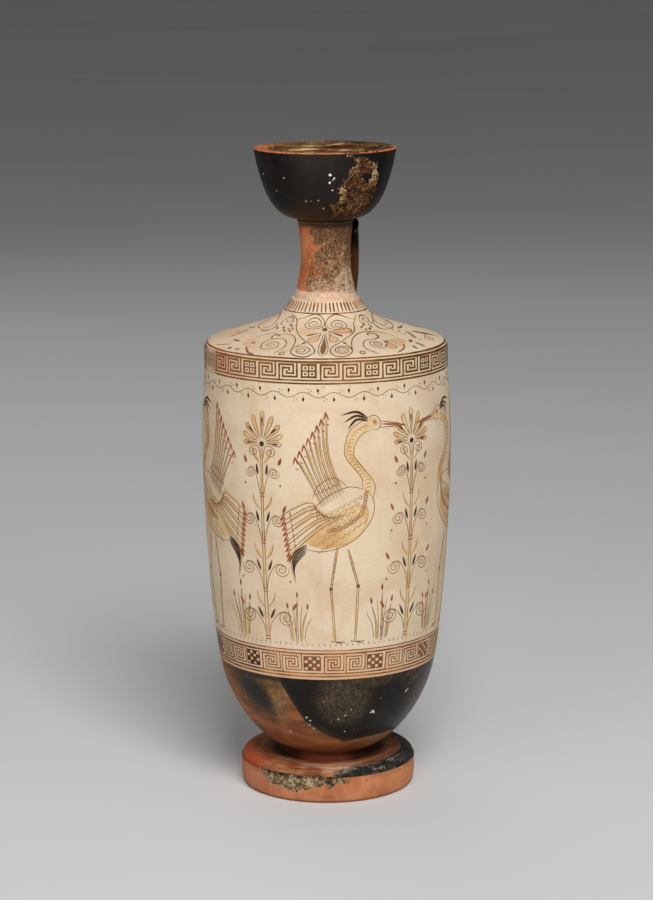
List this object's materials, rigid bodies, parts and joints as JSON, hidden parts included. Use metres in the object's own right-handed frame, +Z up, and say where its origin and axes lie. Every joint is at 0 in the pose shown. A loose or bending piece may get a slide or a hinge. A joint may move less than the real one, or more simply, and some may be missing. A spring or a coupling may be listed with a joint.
{
  "type": "white-ground lekythos",
  "caption": "Tall cylindrical clay oil jar with a cup mouth, narrow neck, flat sloping shoulder, disc foot and one strap handle behind the neck.",
  "frame": {"origin": "centre of the ring that the foot stands on", "axes": "+Z up along the jar's axis, -Y towards the decorated front, handle on the +Y side, turned 9 degrees towards +X"},
  "size_m": [0.1224, 0.1224, 0.318],
  "materials": {
    "black_gloss": "semi-gloss",
    "fired_clay": "matt",
    "white_slip": "satin",
    "worn_neck": "matt"
  },
  "bodies": {
    "root": {"foot": "fired_clay", "body": "white_slip", "shoulder": "white_slip", "neck": "worn_neck", "mouth": "black_gloss", "handle": "black_gloss"}
  },
  "joints": []
}
